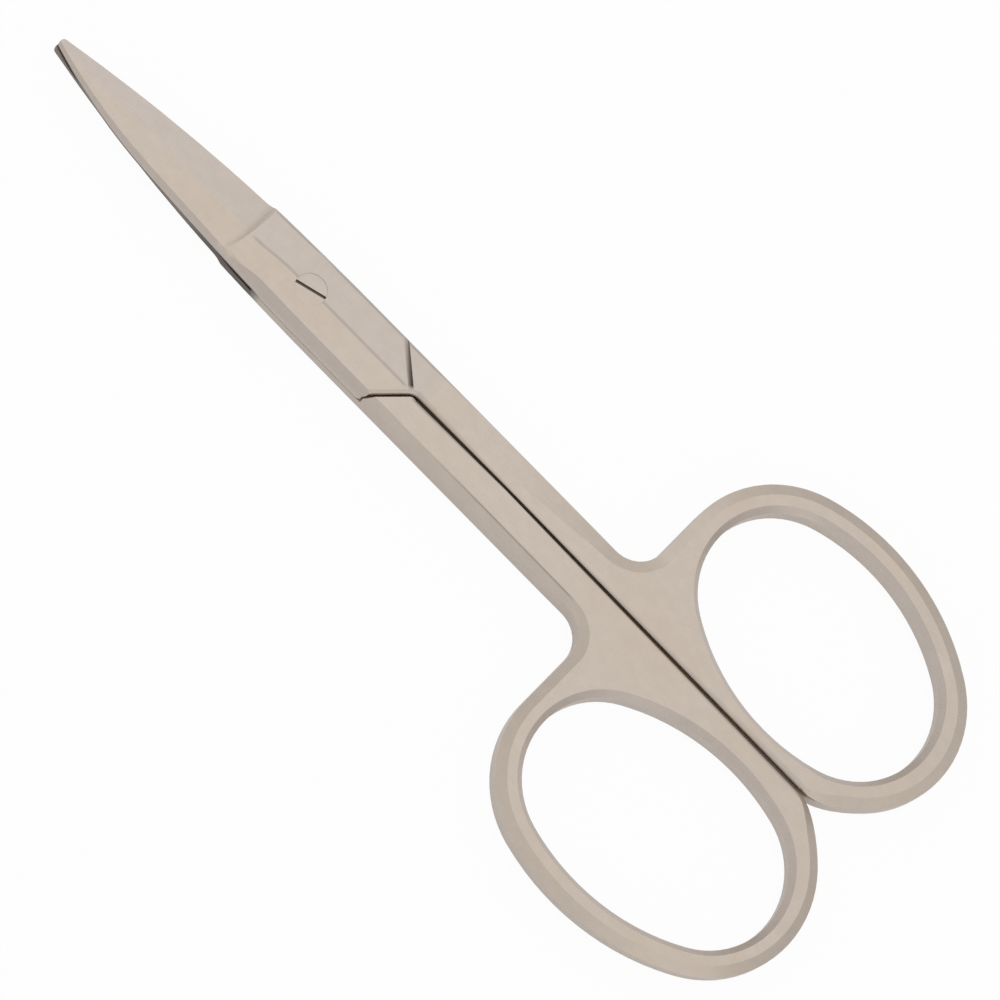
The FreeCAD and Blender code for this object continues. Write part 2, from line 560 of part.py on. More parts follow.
def lap_joint(maker):
    """Lap the halves at the joint and groove the outer face."""
    # The far side is cut away ahead of the shoulder
    meet_x = "(-Sizes.vee_apex)"
    root = "Sizes.vee_root"
    end_y = f"(-{HALF_WIDTH} - Sizes.shoulder_gap)"
    far_x = "(Sizes.blade_reach + 2 * Sizes.overrun)"
    corner = "(Sizes.vee_corner + Sizes.shoulder_gap)"
    sketch = vee_outline(maker, "lap", FACE, "-1", meet_x, root, corner, end_y, far_x)
    maker.pocket("lap_cut", sketch)

    # A groove on the outer face is the vee's closed arm
    run = "(Sizes.groove_apex - Sizes.groove_edge)"
    length = f"sqrt({run}^2 + {HALF_WIDTH}^2)"
    along_x = f"({run} / {length})"
    along_y = f"({HALF_WIDTH} / {length})"
    half = "(Sizes.groove_width / 2)"
    start_x = f"(Sizes.groove_width * {along_x} - Sizes.groove_apex)"
    start_y = f"(-Sizes.groove_width * {along_y})"
    end_x = f"(-Sizes.groove_edge + Sizes.overrun * {along_x})"
    end_y = f"(-{HALF_WIDTH} - Sizes.overrun * {along_y})"
    sketch = maker.sketch("groove", "XY_Plane", f"{TOP} - Sizes.groove_depth")
    maker.polygon(sketch, [
        (f"{start_x} - {half} * {along_y}", f"{start_y} - {half} * {along_x}"),
        (f"{end_x} - {half} * {along_y}", f"{end_y} - {half} * {along_x}"),
        (f"{end_x} + {half} * {along_y}", f"{end_y} + {half} * {along_x}"),
        (f"{start_x} + {half} * {along_y}", f"{start_y} + {half} * {along_x}"),
    ])
    maker.pocket("groove_cut", sketch, reverse=True)


def blade(maker, ridge_fall):
    """Shape the blade: cutting edge, tip, ground face, relieved inner face and bevel."""
    body = maker.body
    sketch = maker.sketch("edge_profile", "XY_Plane")
    side = f"({HALF_WIDTH} + Sizes.overrun)"
    reach = "(Sizes.blade_reach + 2 * Sizes.overrun)"
    start_y = f"({EDGE_Y} + Sizes.edge_inset)"
    lead_run = "(Sizes.relief_start + Sizes.blade_lead)"
    lead_y = f"(-{SIDE_ARC_Y} - sqrt({SIDE_ARC}^2 - {lead_run}^2) - Sizes.edge_inset)"
    start = maker.point("Sizes.plunge_reach", start_y)
    lead = maker.point("Sizes.relief_start", lead_y)
    end = maker.point("Sizes.blade_reach", "-Sizes.tip_edge")
    radius = maker.value("Sizes.cutting_radius")
    chord = end - start
    rise = math.sqrt(radius * radius - chord.Length * chord.Length / 4)
    across = FreeCAD.Vector(-chord.y, chord.x, 0) / chord.Length
    centre = (start + end) / 2 + across * rise
    tip_top = maker.point("Sizes.blade_reach", HALF_WIDTH)
    far_top = maker.point(reach, HALF_WIDTH)
    far_bottom = maker.point(reach, f"-{side}")
    near_bottom = maker.point("Sizes.relief_start", f"-{side}")
    sketch.addGeometry(arc(centre, radius, towards(centre, start), towards(centre, end)), False)
    corners = [end, tip_top, far_top, far_bottom, near_bottom, lead, start]
    for first, second in zip(corners, corners[1:]):
        sketch.addGeometry(Part.LineSegment(first, second), False)
    chain = list(range(len(corners)))
    edge_arc, tip_line, top_line, far_line, bottom_line, near_line, lead_line = chain
    for first, second in zip(chain, chain[1:] + chain[:1]):
        sketch.addConstraint(Sketcher.Constraint("Coincident", first, 2, second, 1))
    for upright in (tip_line, far_line, near_line):
        sketch.addConstraint(Sketcher.Constraint("Vertical", upright))
    for level in (top_line, bottom_line):
        sketch.addConstraint(Sketcher.Constraint("Horizontal", level))
    maker.bind(sketch, "radius", "Radius", edge_arc, "Sizes.cutting_radius")
    maker.bind(sketch, "start_x", "DistanceX", edge_arc, 1, "Sizes.plunge_reach")
    maker.bind(sketch, "start_y", "DistanceY", edge_arc, 1, start_y)
    maker.bind(sketch, "end_x", "DistanceX", edge_arc, 2, "Sizes.blade_reach")
    maker.bind(sketch, "end_y", "DistanceY", edge_arc, 2, "-Sizes.tip_edge")
    maker.bind(sketch, "top_y", "DistanceY", tip_line, 2, HALF_WIDTH)
    maker.bind(sketch, "far_x", "DistanceX", top_line, 2, reach)
    maker.bind(sketch, "bottom_y", "DistanceY", far_line, 2, f"-{side}")
    maker.bind(sketch, "lead_x", "DistanceX", lead_line, 1, "Sizes.relief_start")
    maker.bind(sketch, "lead_y", "DistanceY", lead_line, 1, lead_y)
    maker.pocket("edge_cut", sketch, both=True)

    # The ground face, swept across the blade at its own slope, runs out in a hollow
    ground_x = "Sizes.plunge_reach"
    ground_z = f"({GROUND_MID} - {GROUND_ACROSS} * {side})"
    hollow_z = f"({ground_z} + Sizes.plunge_radius)"
    far_z = f"({ground_z} + {GROUND_ALONG} * ({reach} - Sizes.plunge_reach))"
    sketch = maker.sketch("ground", "XZ_Plane", side)
    low = maker.point(ground_x, ground_z)
    hollow = maker.point(ground_x, hollow_z)
    rim = maker.point(f"{ground_x} - Sizes.plunge_radius", hollow_z)
    high = maker.point(f"{ground_x} - Sizes.plunge_radius", CLEAR_Z)
    far_high = maker.point(reach, CLEAR_Z)
    far_low = maker.point(reach, far_z)
    half_turn = math.pi
    hollow_radius = maker.value("Sizes.plunge_radius")
    sketch.addGeometry(arc(hollow, hollow_radius, half_turn, 3 * half_turn / 2), False)
    corners = [low, far_low, far_high, high, rim]
    for first, second in zip(corners, corners[1:]):
        sketch.addGeometry(Part.LineSegment(first, second), False)
    hollow_arc, floor, far_line, top_line, wall = range(len(corners))
    chain = [hollow_arc, floor, far_line, top_line, wall]
    for first, second in zip(chain, chain[1:] + chain[:1]):
        sketch.addConstraint(Sketcher.Constraint("Coincident", first, 2, second, 1))
    sketch.addConstraint(Sketcher.Constraint("Vertical", far_line))
    sketch.addConstraint(Sketcher.Constraint("Horizontal", top_line))
    maker.bind(sketch, "hollow_x", "DistanceX", hollow_arc, 3, ground_x)
    maker.bind(sketch, "hollow_z", "DistanceY", hollow_arc, 3, hollow_z)
    maker.bind(sketch, "low_x", "DistanceX", hollow_arc, 2, ground_x)
    maker.bind(sketch, "low_z", "DistanceY", hollow_arc, 2, ground_z)
    maker.bind(sketch, "rim_z", "DistanceY", hollow_arc, 1, hollow_z)
    maker.bind(sketch, "far_x", "DistanceX", floor, 2, reach)
    maker.bind(sketch, "far_z", "DistanceY", floor, 2, far_z)
    maker.bind(sketch, "high_x", "DistanceX", wall, 1, f"{ground_x} - Sizes.plunge_radius")
    maker.bind(sketch, "high_z", "DistanceY", wall, 1, CLEAR_Z)
    maker.pocket("ground_cut", sketch, across=GROUND_ACROSS)

    # The inner face is relieved ahead of the joint, down to nothing at the tip
    sketch = maker.sketch("relief", "XZ_Plane")
    relief_end = "(Sizes.blade_reach + Sizes.overrun)"
    maker.polygon(sketch, [
        ("Sizes.relief_start", "0"),
        (relief_end, "0"),
        (relief_end, FACE),
        ("Sizes.relief_start", f"{FACE} + Sizes.relief_depth"),
    ])
    maker.pocket("relief_cut", sketch, both=True)

    # The blunt tip is rounded seen from above
    shape = body.Shape
    tip = maker.value("Sizes.blade_reach")
    near_share = 0.001
    corners = []
    for number, edge in enumerate(shape.Edges, start=1):
        ends = [vertex.Point for vertex in edge.Vertexes]
        at_tip = all(abs(point.x - tip) < near_share for point in ends)
        if at_tip and len(ends) == 2 and abs(ends[0].y - ends[1].y) < near_share:
            corners.append(f"Edge{number}")
    ground_blade = body.Tip
    rounding = body.newObject("PartDesign::Fillet", f"{body.Label}_tip_rounding")
    rounding.Base = (ground_blade, corners)
    rounding.setExpression("Radius", "Sizes.tip_radius")
    maker.doc.recompute()
    spine_bevel(maker, ridge_fall)


def spine_bevel(maker, ridge_fall):
    """The even bevel along the spine, cut at forty-five degrees down to the spine's side."""
    start_x = "(Sizes.plunge_reach - Sizes.plunge_radius)"
    start_run = f"({start_x} + Sizes.blade_lead)"
    start_y = (
        f"({SIDE_ARC_Y} + sqrt({SIDE_ARC}^2 - {start_run}^2)"
        f" - {ridge_fall} - Sizes.bevel_lead)"
    )
    bend_run = f"({BEND_X} - Sizes.plunge_reach)"
    bend_z = f"({GROUND_MID} + {GROUND_ACROSS} * {BEND_Y} + {GROUND_ALONG} * {bend_run})"
    bend_y = f"({BEND_Y} + {bend_z} - Sizes.spine_bevel - {TOP})"
    tip_z = f"(Sizes.tip_height + {GROUND_ACROSS} * Sizes.tip_spine)"
    tip_y = f"(Sizes.tip_spine + {tip_z} - Sizes.tip_bevel - {TOP})"
    reach = "(Sizes.blade_reach + Sizes.overrun)"
    side = f"({HALF_WIDTH} + Sizes.overrun)"

    # A straight run and a tangent arc, at the height of the joint's ridge
    sketch = maker.sketch("bevel", "XY_Plane", TOP)
    start = maker.point(start_x, start_y)
    bend = maker.point(BEND_X, bend_y)
    tip = maker.point("Sizes.blade_reach", tip_y)
    along = (bend - start) / (bend - start).Length
    inward = FreeCAD.Vector(along.y, -along.x, 0)
    chord = tip - bend
    radius = chord.Length * chord.Length / (2 * chord.dot(inward))
    centre = bend + inward * radius
    far_low = maker.point(reach, tip_y)
    far_high = maker.point(reach, side)
    near_high = maker.point(start_x, side)
    sketch.addGeometry(Part.LineSegment(bend, start), False)
    sketch.addGeometry(arc(centre, radius, towards(centre, tip), towards(centre, bend)), False)
    corners = [tip, far_low, far_high, near_high, start]
    for first, second in zip(corners, corners[1:]):
        sketch.addGeometry(Part.LineSegment(first, second), False)
    straight, bow, level, far_line, top_line, near_line = range(len(corners) + 1)
    sketch.addConstraint(Sketcher.Constraint("Tangent", bow, 2, straight, 1))
    pairs = [(bow, 1, level, 1), (level, 2, far_line, 1), (far_line, 2, top_line, 1)]
    pairs += [(top_line, 2, near_line, 1), (near_line, 2, straight, 2)]
    for pair in pairs:
        sketch.addConstraint(Sketcher.Constraint("Coincident", *pair))
    for flat in (level, top_line):
        sketch.addConstraint(Sketcher.Constraint("Horizontal", flat))
    for upright in (far_line, near_line):
        sketch.addConstraint(Sketcher.Constraint("Vertical", upright))
    maker.bind(sketch, "start_x", "DistanceX", straight, 2, start_x)
    maker.bind(sketch, "start_y", "DistanceY", straight, 2, start_y)
    maker.bind(sketch, "bend_x", "DistanceX", straight, 1, BEND_X)
    maker.bind(sketch, "bend_y", "DistanceY", straight, 1, bend_y)
    maker.bind(sketch, "tip_x", "DistanceX", bow, 1, "Sizes.blade_reach")
    maker.bind(sketch, "tip_y", "DistanceY", bow, 1, tip_y)
    maker.bind(sketch, "far_x", "DistanceX", far_line, 1, reach)
    maker.bind(sketch, "side_y", "DistanceY", far_line, 2, side)
    maker.pocket("bevel_cut", sketch, across="-1")


def pivot_hole(maker, radius, recessed):
    """The pivot hole, with a recess for the screw head where recessed is true."""
    sketch = maker.sketch("pivot", "XY_Plane")
    maker.circle(sketch, radius)
    maker.pocket("pivot_hole", sketch, both=True)
    if recessed:
        sketch = maker.sketch("recess", "XY_Plane", f"{HEAD_UNDER} - Sizes.seat_clearance")
        maker.circle(sketch, f"({HEAD_RADIUS} + Sizes.head_clearance)")
        maker.pocket("head_recess", sketch, reverse=True)


def make_half(doc, side, radius, recessed):
    """One half of the scissors, from forging to pivot hole."""
    maker = Maker(doc, f"{side}_half")
    ring = Ring(side)
    forged_blank(maker, ring)
    lap_joint(maker)
    blade(maker, ring.ridge_fall)
    pivot_hole(maker, radius, recessed)
    return maker.body


def make_screw(doc, label):
    """The pivot screw: a turned head and shank with a slot across the head."""
    maker = Maker(doc, label)
    body = maker.body
    sketch = maker.sketch("profile", "XZ_Plane")
    maker.polygon(sketch, [
        ("0", SCREW_END),
        (SCREW_RADIUS, SCREW_END),
        (SCREW_RADIUS, HEAD_UNDER),
        (HEAD_RADIUS, HEAD_UNDER),
        (HEAD_RADIUS, f"{HEAD_TOP} - Sizes.head_bevel"),
        (f"{HEAD_RADIUS} - Sizes.head_bevel", HEAD_TOP),
        ("0", HEAD_TOP),
    ])
    turned = body.newObject("PartDesign::Revolution", f"{label}_turned")
    turned.Profile = sketch
    turned.ReferenceAxis = (sketch, ["V_Axis"])
    turned.Angle = 360
    doc.recompute()

    # The slot runs right across the head
    cos_turn = "cos(Sizes.slot_turn)"
    sin_turn = "sin(Sizes.slot_turn)"
    half = "(Sizes.slot_width / 2)"
    sketch = maker.sketch("slot", "XY_Plane", f"{HEAD_TOP} - Sizes.slot_depth")
    maker.polygon(sketch, [
        (f"-Sizes.head_diameter * {cos_turn} + {half} * {sin_turn}",
         f"-Sizes.head_diameter * {sin_turn} - {half} * {cos_turn}"),
        (f"Sizes.head_diameter * {cos_turn} + {half} * {sin_turn}",
         f"Sizes.head_diameter * {sin_turn} - {half} * {cos_turn}"),
        (f"Sizes.head_diameter * {cos_turn} - {half} * {sin_turn}",
         f"Sizes.head_diameter * {sin_turn} + {half} * {cos_turn}"),
        (f"-Sizes.head_diameter * {cos_turn} - {half} * {sin_turn}",
         f"-Sizes.head_diameter * {sin_turn} + {half} * {cos_turn}"),
    ])
    maker.pocket("slot_cut", sketch, reverse=True)
    return body


def place(body, turned):
    """Set a piece on the ground plane, over the middle of the closed scissors."""
    rotation = FreeCAD.Rotation(FreeCAD.Vector(1, 0, 0), 180 if turned else 0)
    body.Placement = FreeCAD.Placement(FreeCAD.Vector(), rotation)
    body.setExpression("Placement.Base.x", "(Sizes.handle_reach - Sizes.blade_reach) / 2")
    body.setExpression("Placement.Base.z", TOP)


def main():
    doc = FreeCAD.newDocument("cuticle_scissors")
    make_sheet(doc)
    running = f"({SCREW_RADIUS} + Sizes.screw_clearance)"
    threaded = f"({SCREW_RADIUS} + Sizes.thread_clearance)"
    upper = make_half(doc, "upper", running, True)
    lower = make_half(doc, "lower", threaded, False)
    screw = make_screw(doc, "pivot_screw")
    place(upper, False)
    place(lower, True)
    place(screw, False)
    doc.recompute()

    failed = [o.Label for o in doc.Objects if "Invalid" in o.State or "Error" in o.State]
    if failed:
        raise RuntimeError(f"failed objects: {failed}")
    for body in (upper, lower, screw):
        shape = body.Shape
        if shape.isNull() or not shape.isValid() or len(shape.Solids) != 1:
            raise RuntimeError(f"{body.Label} is not one valid solid")
    os.makedirs("parts", exist_ok=True)
    for body in (upper, lower, screw):
        body.Shape.exportStep(f"parts/{body.Label}.step")
        box = body.Shape.BoundBox
        print(body.Label, round(body.Shape.Volume, 2), box)


if __name__ == "__main__":
    main()
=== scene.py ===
import math
from collections import namedtuple

import bmesh
import bpy
from mathutils import Matrix, Vector


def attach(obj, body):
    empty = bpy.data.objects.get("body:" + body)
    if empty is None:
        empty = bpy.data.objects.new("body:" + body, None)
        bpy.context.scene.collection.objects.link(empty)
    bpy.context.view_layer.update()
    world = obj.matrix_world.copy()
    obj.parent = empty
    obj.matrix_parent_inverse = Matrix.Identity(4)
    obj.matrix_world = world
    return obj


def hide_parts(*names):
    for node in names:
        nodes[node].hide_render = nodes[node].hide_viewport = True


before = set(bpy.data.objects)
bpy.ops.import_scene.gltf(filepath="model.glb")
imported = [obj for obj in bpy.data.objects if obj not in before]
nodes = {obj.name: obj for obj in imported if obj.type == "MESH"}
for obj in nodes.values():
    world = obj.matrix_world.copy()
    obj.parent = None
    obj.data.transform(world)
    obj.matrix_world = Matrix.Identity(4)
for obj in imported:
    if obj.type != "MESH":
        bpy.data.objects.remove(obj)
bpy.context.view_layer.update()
scene = bpy.context.scene

MM = 0.001
PER_METRE = 1000.0
QUARTER = math.pi / 2
FULL_TURN = 2 * math.pi

# Sizes in millimetres, the same as the solids have. Each half has its own frame:
# the pivot axis is Z, the blade points along +X and the handle leaves on the -Y side
PIVOT = Vector((17.1, 0.0, 1.4))
HANDLE_REACH = 61.55
HALF_WIDTH = 3.125
HALF_GAP = 0.1
TOP = 1.4
END_TOP = 0.9
OPENING_LENGTH = 23.2
END_SHARE = 0.44
TILT = math.radians(8)
CROTCH_RADIUS = 2.7
TAPER_START = 0.69
TAPER_END = 0.97
RIDGE_MARGIN = 0.05
BLADE_REACH = 27.35
BEND_SHARE = 0.575
BLADE_LEAD = 4.0
BLADE_BEND = BEND_SHARE * BLADE_REACH
BLADE_DROP = 0.68
SIDE_ARC = ((BLADE_BEND + BLADE_LEAD) ** 2 + BLADE_DROP ** 2) / (2 * BLADE_DROP)

# How finely the rims are followed
ARC_STEP = 0.22
FEWEST_ARC_STEPS = 6
SHANK_STEPS = 90
SAME_PLACE = 1e-4

# A bevel of NO_CUT lies outside the rounded edge, and a cutter reaches past its bevel by SPARE of it
NO_CUT = 0.25
SPARE = 0.25
OPENING_BEVEL = 0.5
INNER_SHANK_BEVEL = 0.62
PLATE_BEVEL = 0.66

# Where the rim's bevel grows from the far end, and where it turns into the shank's
RIM_GROWTH = (0.5, 6.0)
SHANK_SIDE_Y = (-6.0, -3.2)
SHANK_START_X = (-36.0, -31.0)

# The joint plate's bevel: its start, the length of its arc and where it runs out
PLATE_START_X = -10.0
PLATE_ARC = 11.0
PLATE_FADE_X = (3.0, 6.0)

# The outer face's twisting facet along the shank: place along the part, width, depth at the side
FACET = [
    (-35.0, 1.0, 0.36), (-32.0, 1.1, 0.34), (-29.0, 1.35, 0.3), (-26.0, 1.72, 0.25),
    (-20.0, 2.42, 0.15), (-14.0, 3.0, 0.07), (-11.0, 3.1, 0.02),
]
FACET_END_X = FACET[-1][0]

# The gap's rounded edges: where they lie, how much they are drawn together and where that fades
CRISP_END_X = -12.0
CRISP_INSET = (-0.01, 0.51)
CRISP_DEPTH = (-0.03, 0.53)
CRISP_SHARE = 0.68
CRISP_GROWTH = 3.0
CRISP_FADE = (12.6, 14.5)

# The ring's fuller far corner: the push, its growth and fall along the part, its fading inwards
FULLER_PUSH = 0.36
FULLER_GROWTH = (0.0, 2.6)
FULLER_FALL = (-7.0, -3.0)
FULLER_FADE = (0.5, 2.0)

# Material slots of a half, and the angles from which an edge is a crease
PLAIN = 0
BEVEL = 1
BEVEL_ANGLE = math.radians(5)
SHARP_ANGLE = math.radians(24)

# The screw head: limits that tell its parts by height and radius, then the changes
SLOT_ABOVE = 0.9
FACE_ABOVE = 1.2
SIDE_ABOVE = 0.8
SIDE_OUT = 1.2
HEAD_RADIUS = 1.344
HEAD_RISE = 0.04
SPINE_SLOPE = 0.036
EDGE_SLOPE = 0.055
SLOT_RISE = 0.13


def blend(start, end, share):
    return start + (end - start) * share


def smooth(value, low, high):
    """Smooth step from 0 at low to 1 at high."""
    t = min(1.0, max(0.0, (value - low) / (high - low)))
    return t * t * (3 - 2 * t)


def towards(start, end):
    """Angle of the line from one point to another."""
    return math.atan2(end[1] - start[1], end[0] - start[0])


def curve(centre, radius, start, end, way):
    """Points along an arc, each with the direction into the steel."""
    count = max(FEWEST_ARC_STEPS, int(abs(end - start) * radius / ARC_STEP))
    points = []
    for i in range(count + 1):
        angle = start + (end - start) * i / count
        c, s = math.cos(angle), math.sin(angle)
        points.append((centre[0] + radius * c, centre[1] + radius * s, way * c, way * s))
    return points


class Ring:
    """The plan of one half's finger ring and shank."""

    def __init__(self, width, bar, far_bar, inner_bar, bevel, bevel_depth):
        self.bevel = bevel
        self.bevel_depth = bevel_depth
        self.end = END_SHARE * width
        reach = OPENING_LENGTH / 2 - self.end
        squares = reach ** 2 + (width / 2) ** 2 - self.end ** 2
        self.side = squares / (width - 2 * self.end)
        back = self.side - width / 2
        cos, sin = math.cos(TILT), math.sin(TILT)
        x = far_bar + reach * cos + self.end - HANDLE_REACH
        y = back * cos - self.side - inner_bar - HALF_GAP
        # Centres of the opening's four arcs
        self.front_centre = (x + reach * cos, y - reach * sin)
        self.back_centre = (x - reach * cos, y + reach * sin)
        self.outer_centre = (x + back * sin, y + back * cos)
        self.inner_centre = (x - back * sin, y - back * cos)
        # The arc round the far end
        self.outer_side = self.side + bar
        self.outer_end = self.end + bar
        run = HANDLE_REACH + self.outer_centre[0]
        rise = HALF_GAP + self.outer_centre[1]
        half_sum = rise - run + self.outer_side
        rest = run ** 2 + rise ** 2 - self.outer_side ** 2
        self.far_radius = math.sqrt(half_sum ** 2 - rest) - half_sum
        self.far_centre = (self.far_radius - HANDLE_REACH, -HALF_GAP - self.far_radius)
        # The corner between ring and shank, and the taper of both faces
        self.wall_x = self.front_centre[0] + self.outer_end
        self.crotch = (self.wall_x + CROTCH_RADIUS, -HALF_WIDTH - CROTCH_RADIUS)
        self.taper_x = TAPER_START * self.crotch[0]
        self.taper = (TOP - END_TOP) / (HANDLE_REACH + self.taper_x)
        self.ridge_fall = -self.taper * self.crotch[0] * (TAPER_END - TAPER_START)

    def face_height(self, x):
        """Height of either face above the middle plane, without the ridge."""
        return TOP - self.taper * max(0.0, self.taper_x - x)

    def outer_height(self, x, y):
        """Height of the outer face, which falls to both sides of a ridge on shank and joint."""
        height = self.face_height(x)
        if abs(y) < HALF_WIDTH + RIDGE_MARGIN:
            height = min(height, TOP - self.ridge_fall * abs(y) / HALF_WIDTH)
        return height

    def rim(self):
        """The outside from the gap's far end round to the joint, as place and inward way."""
        far_angle = towards(self.outer_centre, self.far_centre) + FULL_TURN
        front_angle = towards(self.outer_centre, self.front_centre) + FULL_TURN
        points = curve(self.far_centre, self.far_radius, QUARTER, far_angle, -1)
        points += curve(self.outer_centre, self.outer_side, far_angle, front_angle, -1)
        points += curve(self.front_centre, self.outer_end, front_angle, FULL_TURN, -1)
        points += curve(self.crotch, CROTCH_RADIUS, 2 * QUARTER, QUARTER, 1)
        shank_length = -BLADE_LEAD - self.crotch[0]
        for i in range(1, SHANK_STEPS + 1):
            x = self.crotch[0] + shank_length * i / SHANK_STEPS
            points.append((x, -HALF_WIDTH, 0.0, 1.0))
        return points

    def opening(self):
        """The finger opening, as place and inward way."""
        inner_front = towards(self.inner_centre, self.front_centre)
        inner_back = towards(self.inner_centre, self.back_centre)
        outer_front = towards(self.outer_centre, self.front_centre) + FULL_TURN
        outer_back = towards(self.outer_centre, self.back_centre) + FULL_TURN
        points = curve(self.front_centre, self.end, outer_front - FULL_TURN, inner_front, 1)
        points += curve(self.inner_centre, self.side, inner_front, inner_back, 1)
        points += curve(self.back_centre, self.end, inner_back, outer_back, 1)
        points += curve(self.outer_centre, self.side, outer_back, outer_front, 1)
        return points


def facet(x):
    """Width and depth of the twisting facet at one place along the shank."""
    for (x0, width0, depth0), (x1, width1, depth1) in zip(FACET, FACET[1:]):
        if x <= x1:
            share = max(0.0, (x - x0) / (x1 - x0))
            return blend(width0, width1, share), blend(depth0, depth1, share)
    return FACET[-1][1:]


def spread(path):
    """The path without points that repeat the one before or, at its end, the first."""
    kept = path[:1]
    for point in path[1:]:
        if math.dist(point[:2], kept[-1][:2]) >= SAME_PLACE:
            kept.append(point)
    if math.dist(kept[0][:2], kept[-1][:2]) < SAME_PLACE:
        kept.pop()
    return kept


def bevel_bar(verts, faces, path, heights, sizes, up, closed):
    """A three-sided bar along a rim, whose slanting face is the bevel."""
    first = len(verts)
    for (x, y, nx, ny), (rim, crease), (width, depth) in zip(path, heights, sizes):
        low = rim - depth
        rise = SPARE * (crease - low)
        inner = (1 + SPARE) * width
        outer = -SPARE * width
        verts.append((x + nx * inner, y + ny * inner, up * (crease + rise)))
        verts.append((x + nx * outer, y + ny * outer, up * (low - rise)))
        verts.append((x + nx * outer, y + ny * outer, up * (crease + rise)))
    count = len(path)
    for row in range(count if closed else count - 1):
        a = first + 3 * row
        b = first + 3 * ((row + 1) % count)
        for i in range(3):
            j = (i + 1) % 3
            faces.append((a + i, a + j, b + j, b + i))
    if not closed:
        last = first + 3 * (count - 1)
        faces.append((first + 2, first + 1, first))
        faces.append((last, last + 1, last + 2))


def bevel_cutters(ring):
    """Two sets of cutters, for the bevels on the outer and the inner face of one half."""
    sets = {1: ([], []), -1: ([], [])}

    def run(path, sizes, up, height, closed=False):
        verts, faces = sets[up]
        heights = []
        for (x, y, nx, ny), (width, _) in zip(path, sizes):
            heights.append((height(x, y), height(x + nx * width, y + ny * width)))
        bevel_bar(verts, faces, path, heights, sizes, up, closed)

    def face_height(x, _):
        return ring.face_height(x)

    # The outside: broad round the ring, from nothing at the gap's far end
    path = spread(ring.rim())
    outer, inner = [], []
    travelled, before = 0.0, path[0]
    for point in path:
        x, y = point[:2]
        travelled += math.dist((x, y), before[:2])
        before = point
        grown = smooth(travelled, *RIM_GROWTH)
        on_shank = smooth(y, *SHANK_SIDE_Y) * smooth(x, *SHANK_START_X)
        broad = blend(NO_CUT, ring.bevel, grown)
        deep = blend(NO_CUT, ring.bevel_depth, grown)
        width, depth = facet(x)
        outer.append((blend(broad, width, on_shank), blend(deep, depth, on_shank)))
        inner.append((blend(broad, INNER_SHANK_BEVEL, on_shank), deep))
    to_joint = sum(point[0] < FACET_END_X for point in path)
    run(path[:to_joint], outer[:to_joint], 1, ring.outer_height)
    run(path, inner, -1, face_height)

    # The finger opening
    hole = spread(ring.opening())
    sizes = [(OPENING_BEVEL, OPENING_BEVEL)] * len(hole)
    run(hole, sizes, 1, face_height, True)
    run(hole, sizes, -1, face_height, True)

    # The joint plate's other side, from the shoulder to where the blade is ground
    spine = (-BLADE_LEAD, HALF_WIDTH - SIDE_ARC)
    path = [(PLATE_START_X, HALF_WIDTH, 0.0, -1.0)]
    path += curve(spine, SIDE_ARC, QUARTER, QUARTER - PLATE_ARC / SIDE_ARC, -1)
    path = spread(path)
    sizes = []
    for point in path:
        width = blend(PLATE_BEVEL, NO_CUT, smooth(point[0], *PLATE_FADE_X))
        sizes.append((width, width))
    run(path, sizes, 1, ring.outer_height)
    return sets.values()


def crisp(ring, x, y, z):
    """The rounding along the gap drawn together to a third, so that the gap's edges look crisp."""
    top = ring.outer_height(x, 0.0) if z > 0 else ring.face_height(x)
    inset, depth = -HALF_GAP - y, top - abs(z)
    beside_gap = CRISP_INSET[0] < inset < CRISP_INSET[1]
    near_face = CRISP_DEPTH[0] < depth < CRISP_DEPTH[1]
    if x > CRISP_END_X or not beside_gap or not near_face:
        return y, z
    far = ring.far_centre[0]
    part = 1 - CRISP_SHARE * smooth(x, far, far + CRISP_GROWTH) * smooth(-x, *CRISP_FADE)
    return -HALF_GAP - part * inset, math.copysign(top - part * depth, z)


def fuller(ring, x, y):
    """The ring's far corner beside the gap, a little fuller than the arc of the solid."""
    beside = x - ring.far_centre[0]
    if beside >= 0 or -beside >= ring.far_radius or y < ring.far_centre[1]:
        return y
    outline = ring.far_centre[1] + math.sqrt(ring.far_radius ** 2 - beside ** 2)
    push = FULLER_PUSH * smooth(-beside, *FULLER_GROWTH) * smooth(beside, *FULLER_FALL)
    push = min(push, max(0.0, -HALF_GAP - outline))
    return y + push * (1 - smooth(outline - y, *FULLER_FADE))


def welded(node):
    """Corners and faces of a CAD node as one closed mesh, in millimetres in the shared frame."""
    numbers, verts, faces = {}, [], []
    for polygon in node.data.polygons:
        corners = []
        for index in polygon.vertices:
            place = tuple(round(c / MM, 4) for c in node.data.vertices[index].co)
            if place not in numbers:
                numbers[place] = len(verts)
                verts.append(place)
            corners.append(numbers[place])
        if len(set(corners)) == len(corners):
            faces.append(corners)
    return verts, faces


def temporary(name, verts, faces, slot):
    """A closed mesh whose faces all look outwards and use one of two slots, for the moment."""
    mesh = bpy.data.meshes.new(name)
    mesh.from_pydata(verts, [], faces)
    mesh.materials.append(None)
    mesh.materials.append(None)
    shell = bmesh.new()
    shell.from_mesh(mesh)
    bmesh.ops.recalc_face_normals(shell, faces=shell.faces)
    for face in shell.faces:
        face.material_index = slot
    shell.to_mesh(mesh)
    shell.free()
    holder = bpy.data.objects.new(name, mesh)
    scene.collection.objects.link(holder)
    return holder


